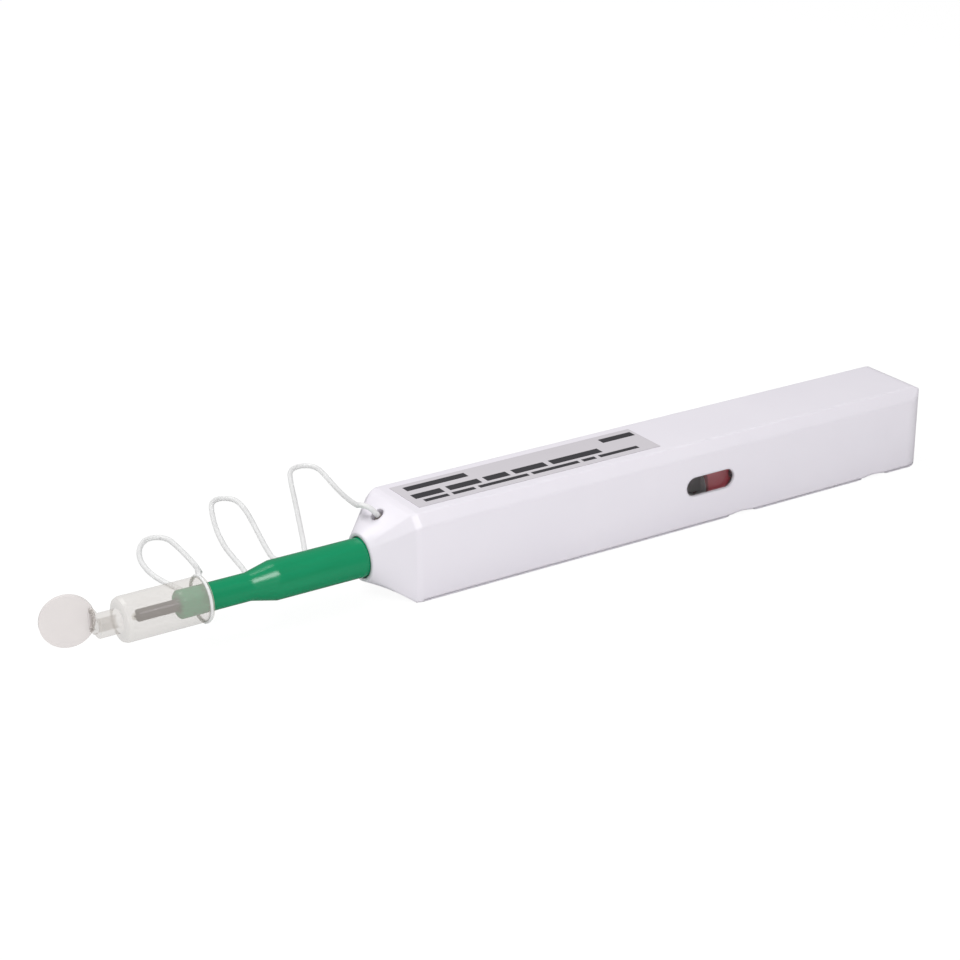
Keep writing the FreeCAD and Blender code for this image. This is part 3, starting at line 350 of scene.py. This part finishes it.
# ---------------------------------------------------------------- Window
# A clear acrylic lens snaps into the slot from inside. Its face is a low dome between two round ends.
# The flange that holds it behind the wall can't be seen, so the dome alone is drawn.
LENS_FLANGE = 1.4 * MM
DOME_RISE = 0.6 * MM


def clear_acrylic(name, colour, roughness, ior):
    """Polished clear plastic: sharp reflections and a slight tint, and lamps shine through it unbent."""
    material, surface = blank(name)
    skin = add(material, "ShaderNodeBsdfPrincipled", {
        "Base Color": linear(colour), "Roughness": roughness, "IOR": ior, "Transmission Weight": 1.0})
    path = add(material, "ShaderNodeLightPath")
    passed = add(material, "ShaderNodeBsdfTransparent")
    mixed = add(material, "ShaderNodeMixShader", {"Fac": path.outputs["Is Shadow Ray"], 1: skin.outputs[0],
                                                  2: passed.outputs[0]})
    material.node_tree.links.new(mixed.outputs[0], surface)
    return material


def domed_slot(name, low, high, rise, face, back, columns=96, rings=14):
    """A stadium plate: each ring is the outline drawn in towards the middle line by a cosine, and the face
    swells by a sine of the same angle, so it is a quarter of an ellipse. The first ring closes it behind."""
    radius = (high[2] - low[2]) / 2
    reach = (high[0] - low[0]) / 2 - radius
    middle = np.array([(low[0] + high[0]) / 2, (low[2] + high[2]) / 2])
    turn = np.linspace(0, 2 * np.pi, columns, endpoint=False)
    inward = np.cos(np.linspace(0, np.pi / 2, rings))[:, None]
    x = middle[0] + np.sign(np.cos(turn)) * reach + radius * inward * np.cos(turn)
    z = middle[1] + radius * inward * np.sin(turn)
    y = np.broadcast_to(face - rise * np.sqrt(1 - inward ** 2), x.shape)
    dome = np.stack([x, y, z], axis=-1)
    edge = dome[:1].copy()
    edge[..., 1] = back
    rear = dome[::-1].copy()
    rear[..., 1] = back
    return surface_of(name, np.concatenate([rear, edge, dome]), closed_around=True)


window_low, window_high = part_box("window_lens")
slot_low = (window_low[0] + LENS_FLANGE, window_low[1], window_low[2] + LENS_FLANGE)
slot_high = (window_high[0] - LENS_FLANGE, window_high[1], window_high[2] - LENS_FLANGE)
dome = domed_slot("window_dome", slot_low, slot_high, DOME_RISE, window_low[1] + DOME_RISE, window_high[1])
acrylic = clear_acrylic("polished_clear_acrylic", "#F3EEF0", 0.03, 1.49)
dome.data.materials.append(acrylic)
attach(dome, "housing")
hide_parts("window_lens")


# ---------------------------------------------------------------- Nozzle
# One moulding in bright green polycarbonate with a high polish, in two diameters with a taper between.
# Flow lines run faintly along it, and its edges are softened a little more than the case's.
def polished_green():
    """Polished moulded polycarbonate: deep green under a sharp gloss, with long faint flow lines."""
    material, surface = blank("polished_green_polycarbonate")
    place = add(material, "ShaderNodeTexCoord").outputs["Object"]
    drawn = add(material, "ShaderNodeMapping", {"Vector": place, "Scale": (0.08, 1.0, 1.0)})
    lines = add(material, "ShaderNodeTexNoise", {"Vector": drawn.outputs["Vector"], "Scale": 1 / (1.2 * MM),
                                                 "Detail": 3.0})
    tint = add(material, "ShaderNodeMix", {"Factor": lines.outputs["Fac"], 6: linear("#008455"),
                                           7: linear("#009162")}, data_type="RGBA")
    soft = add(material, "ShaderNodeBevel", {"Radius": 1.2 * MM}, samples=6)
    flow = add(material, "ShaderNodeBump", {"Height": lines.outputs["Fac"], "Strength": 0.2,
                                            "Distance": 0.01 * MM, "Normal": soft.outputs["Normal"]})
    skin = add(material, "ShaderNodeBsdfPrincipled", {
        "Base Color": tint.outputs[2], "Roughness": 0.2, "IOR": 1.585, "Normal": flow.outputs["Normal"]})
    material.node_tree.links.new(skin.outputs[0], surface)
    return material


dress(polished_green(), "nozzle_barrel")


# ---------------------------------------------------------------- Steel pieces
# The tip tube, both axles, the cam pin, the brake leaf, the thread guide and the spring are drawn stainless
# steel. Fine lines run along the tube.
def drawn_steel():
    """Drawn stainless steel: a grey metal whose gloss is streaked along the way it was drawn."""
    material, surface = blank("drawn_stainless_steel")
    place = add(material, "ShaderNodeTexCoord").outputs["Object"]
    drawn = add(material, "ShaderNodeMapping", {"Vector": place, "Scale": (0.02, 1.0, 1.0)})
    lines = add(material, "ShaderNodeTexNoise", {"Vector": drawn.outputs["Vector"], "Scale": 1 / (0.15 * MM),
                                                 "Detail": 2.0})
    tint = add(material, "ShaderNodeMix", {"Factor": lines.outputs["Fac"], 6: linear("#66636A"),
                                           7: linear("#A5A2A8")}, data_type="RGBA")
    gloss = add(material, "ShaderNodeMapRange", {"Value": lines.outputs["Fac"], "To Min": 0.2,
                                                 "To Max": 0.36})
    skin = add(material, "ShaderNodeBsdfPrincipled", {
        "Base Color": tint.outputs[2], "Roughness": gloss.outputs["Result"], "Metallic": 1.0})
    material.node_tree.links.new(skin.outputs[0], surface)
    return material


steel = drawn_steel()
dress(steel, "tip_tube", "take_up_axle", "supply_axle", "cam_pin", "supply_brake", "thread_guide")


# ---------------------------------------------------------------- Return spring
# Steel wire, cold-wound round the axis of the tip. It shortens against its stop as the nozzle goes in.
# A copy of the solid, with a mesh of its own, stands for it.
WELD_DISTANCE = 0.001 * MM
tube_low, tube_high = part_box("tip_tube")
axis_height = (tube_low[2] + tube_high[2]) / 2
coil_shape = bmesh.new()
coil_shape.from_mesh(nodes["return_spring"].data)
bmesh.ops.remove_doubles(coil_shape, verts=coil_shape.verts, dist=WELD_DISTANCE)
coil_mesh = bpy.data.meshes.new("spring_coil")
coil_shape.to_mesh(coil_mesh)
coil_shape.free()
coil_mesh.shade_smooth()
coil = bpy.data.objects.new("spring_coil", coil_mesh)
bpy.context.collection.objects.link(coil)
coil.data.materials.append(steel)
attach(coil, "housing")
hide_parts("return_spring")
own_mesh(coil)


# ---------------------------------------------------------------- Cap and lid
# Natural polypropylene, moulded thin: milky, half clear, with a soft gloss. The lid hinges on the snout.
# The haze belongs to the outer skin: faces far from the axis, and all that lies ahead of the front wall.
SKIN_RADIUS = 3.7 * MM
SKIN_FRONT = -124.8 * MM


def natural_polypropylene(name, haze, dull, pale):
    """Natural polypropylene: light that goes in through the outer skin meets a warm white haze, and haze is
    the share of it that is stopped there."""
    material, surface = blank(name)
    place = add(material, "ShaderNodeTexCoord").outputs["Object"]
    cloud = add(material, "ShaderNodeTexNoise", {"Vector": place, "Scale": 1 / (5 * MM), "Detail": 3.0})
    tint = add(material, "ShaderNodeMix", {"Factor": cloud.outputs["Fac"], 6: linear(dull),
                                           7: linear(pale)}, data_type="RGBA")
    ripple = add(material, "ShaderNodeBump", {"Height": cloud.outputs["Fac"], "Strength": 0.2,
                                              "Distance": 0.02 * MM})
    parts = add(material, "ShaderNodeSeparateXYZ", {"Vector": place})
    lift = add(material, "ShaderNodeMath", {0: parts.outputs["Z"], 1: axis_height}, operation="SUBTRACT")
    offset = add(material, "ShaderNodeCombineXYZ", {"Y": parts.outputs["Y"], "Z": lift.outputs[0]})
    away = add(material, "ShaderNodeVectorMath", {0: offset.outputs[0]}, operation="LENGTH")
    round_skin = add(material, "ShaderNodeMath", {0: away.outputs["Value"], 1: SKIN_RADIUS},
                     operation="GREATER_THAN")
    front_skin = add(material, "ShaderNodeMath", {0: parts.outputs["X"], 1: SKIN_FRONT},
                     operation="LESS_THAN")
    skinned = add(material, "ShaderNodeMath", {0: round_skin.outputs[0], 1: front_skin.outputs[0]},
                  operation="MAXIMUM")
    leaving = add(material, "ShaderNodeNewGeometry").outputs["Backfacing"]
    entering = add(material, "ShaderNodeMath", {0: skinned.outputs[0], 1: leaving},
                   operation="SUBTRACT", use_clamp=True)
    shown = add(material, "ShaderNodeMath", {0: entering.outputs[0], 1: haze}, operation="MULTIPLY")
    skin = add(material, "ShaderNodeBsdfPrincipled", {
        "Base Color": tint.outputs[2], "Roughness": 0.3, "IOR": 1.49, "Alpha": shown.outputs[0],
        "Normal": ripple.outputs["Normal"]})
    material.node_tree.links.new(skin.outputs[0], surface)
    return material


dress(natural_polypropylene("natural_polypropylene", 0.52, "#B8B1AA", "#BEB8B1"), "guide_cap")
dress(natural_polypropylene("hazy_polypropylene", 0.75, "#D5CDCB", "#DBD3D1"), "cap_lid")
dress(natural_polypropylene("dense_polypropylene", 1.0, "#E0DAD7", "#E7E2E0"), "lid_pin")
dress(nylon, "tether_ring")


# ---------------------------------------------------------------- Works inside the case
# Carriage, rack, pinion, pawl, take-up reel and spring plate are moulded in white acetal, which is slippery.
# They are closed in by the case, and show only through the window.
acetal = moulded("moulded_white_acetal", "#DCDAD6", "#E6E4E0", 0.3, 1.48, 0.4 * MM, 0.004 * MM)
dress(acetal, "carriage", "carriage_cover", "drive_rack", "drive_pinion", "take_up_reel", "spring_stop",
      "anti_reverse_pawl")

# The cleaning core is a dark filled nylon, and the supply reel a dark red one that shows in the window.
dark_nylon = moulded("filled_dark_nylon", "#2C2B30", "#37363B", 0.45, 1.53, 0.25 * MM, 0.008 * MM)
dress(dark_nylon, "tip_core")
red_nylon = moulded("moulded_red_nylon", "#A02838", "#B4303F", 0.38, 1.53, 0.4 * MM, 0.004 * MM)
dress(red_nylon, "supply_reel")


# ---------------------------------------------------------------- Cleaning thread
# Spun polyester microfibre, 0.4 mm thick, wound in even turns on both reels and looped over the tip.
THREAD_THICK = 0.4 * MM
HUB_RADIUS = 2.45 * MM


def spun_polyester():
    """Spun microfibre thread: matt white with fine cross ribs and a soft sheen."""
    material, surface = blank("spun_polyester_thread")
    place = add(material, "ShaderNodeTexCoord").outputs["Object"]
    fibres = add(material, "ShaderNodeTexNoise", {"Vector": place, "Scale": 1 / (0.12 * MM), "Detail": 4.0})
    tint = add(material, "ShaderNodeMix", {"Factor": fibres.outputs["Fac"], 6: linear("#D8D6CF"),
                                           7: linear("#F0EFEA")}, data_type="RGBA")
    fuzz = add(material, "ShaderNodeBump", {"Height": fibres.outputs["Fac"], "Strength": 0.6,
                                            "Distance": 0.03 * MM})
    skin = add(material, "ShaderNodeBsdfPrincipled", {
        "Base Color": tint.outputs[2], "Roughness": 0.85, "IOR": 1.5, "Sheen Weight": 0.3,
        "Normal": fuzz.outputs["Normal"]})
    material.node_tree.links.new(skin.outputs[0], surface)
    return material


def wound_sleeve(name, low, high, bore, pitch, sides=72):
    """Thread wound on a reel about Y: the outside is a circle whose radius dips by three tenths of a thread
    between turns, as one less a sine, and the sleeve closes down to its bore at both ends."""
    middle = ((low[0] + high[0]) / 2, (low[2] + high[2]) / 2)
    outer = (high[0] - low[0]) / 2
    turns = int((high[1] - low[1]) / pitch)
    along = np.linspace(0, 1, turns * 8 + 1)
    dip = pitch * 0.3 * (1 - np.abs(np.sin(np.pi * turns * along)))
    y = np.concatenate([[low[1]], low[1] + along * (high[1] - low[1]), [high[1]]])
    radius = np.concatenate([[bore], outer - dip, [bore]])
    turn = np.linspace(0, 2 * np.pi, sides, endpoint=False)
    grid = np.stack([middle[0] + radius[:, None] * np.cos(turn), np.repeat(y[:, None], sides, axis=1),
                     middle[1] + radius[:, None] * np.sin(turn)], axis=-1)
    return surface_of(name, grid, closed_around=True, closed_along=True)


polyester = spun_polyester()
dress(polyester, "feed_thread", "return_thread", "tip_thread")
for reel, body in (("take_up_thread", "take_up"), ("supply_thread", "supply")):
    sleeve = wound_sleeve(reel + "_turns", *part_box(reel), HUB_RADIUS, THREAD_THICK)
    sleeve.data.materials.append(polyester)
    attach(sleeve, body)
    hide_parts(reel)


# ---------------------------------------------------------------- Table and light
# A plain white table in a white room, with a soft lamp high on the window side, one overhead behind and a low
# one in front. Reflections see table and room darker than the eye does, so the deep green doesn't go pale.
TABLE_REACH = 4.0
WHITE_SHARE = 0.88
WHITE_GLOW = 1.05
ROOM_LEVEL = 0.42
REFLECTED_STEP = -0.2


def white_table():
    """A matt top: white to the eye and through clear plastic, with a soft shadow, and grey in reflections."""
    material, surface = blank("matt_white_top")
    path = add(material, "ShaderNodeLightPath")
    seen = add(material, "ShaderNodeMath", {0: path.outputs["Is Camera Ray"],
                                            1: path.outputs["Is Transmission Ray"]}, operation="MAXIMUM")
    share = add(material, "ShaderNodeMath", {0: seen.outputs[0], 1: WHITE_SHARE}, operation="MULTIPLY")
    shade = add(material, "ShaderNodeMix", {"Factor": path.outputs["Is Glossy Ray"], 6: linear("#F4F4F4"),
                                            7: linear("#8C8C8C")}, data_type="RGBA")
    paint = add(material, "ShaderNodeBsdfDiffuse", {"Color": shade.outputs[2]})
    glow = add(material, "ShaderNodeEmission", {"Color": (1.0, 1.0, 1.0, 1.0), "Strength": WHITE_GLOW})
    mixed = add(material, "ShaderNodeMixShader", {"Fac": share.outputs[0], 1: paint.outputs[0],
                                                  2: glow.outputs[0]})
    material.node_tree.links.new(mixed.outputs[0], surface)
    return material


corners = TABLE_REACH * np.array([[(-1.0, -1.0, 0.0), (1.0, -1.0, 0.0)], [(-1.0, 1.0, 0.0), (1.0, 1.0, 0.0)]])
table = surface_of("table", corners, smooth=False)
table.data.materials.append(white_table())

world = bpy.data.worlds.new("white_room")
world.use_nodes = True
bpy.context.scene.world = world
room = world.node_tree.nodes["Background"]
room.inputs["Color"].default_value = (1.0, 1.0, 1.0, 1.0)
path = add(world, "ShaderNodeLightPath")
level = add(world, "ShaderNodeMapRange", {"Value": path.outputs["Is Camera Ray"], "To Min": ROOM_LEVEL,
                                          "To Max": 1.0})
dimmed = add(world, "ShaderNodeMath", {0: path.outputs["Is Glossy Ray"], 1: REFLECTED_STEP,
                                       2: level.outputs["Result"]}, operation="MULTIPLY_ADD")
world.node_tree.links.new(dimmed.outputs[0], room.inputs["Strength"])


def soft_lamp(name, place, aim_at, size, power):
    """A square lamp that faces a point."""
    data = bpy.data.lights.new(name, "AREA")
    data.size = size
    data.energy = power
    lamp = bpy.data.objects.new(name, data)
    lamp.location = place
    lamp.rotation_euler = (Vector(aim_at) - Vector(place)).to_track_quat("-Z", "Y").to_euler()
    bpy.context.collection.objects.link(lamp)


soft_lamp("key", (-0.095, -0.25, 0.385), (-0.03, 0.0, 0.01), 0.18, 0.75)
soft_lamp("overhead", (-0.30, 0.40, 0.75), (-0.05, 0.0, 0.01), 0.50, 4.0)
soft_lamp("fill", (-0.40, -0.80, 0.22), (-0.02, 0.0, 0.01), 0.50, 1.2)

bpy.context.scene.view_settings.view_transform = "Standard"
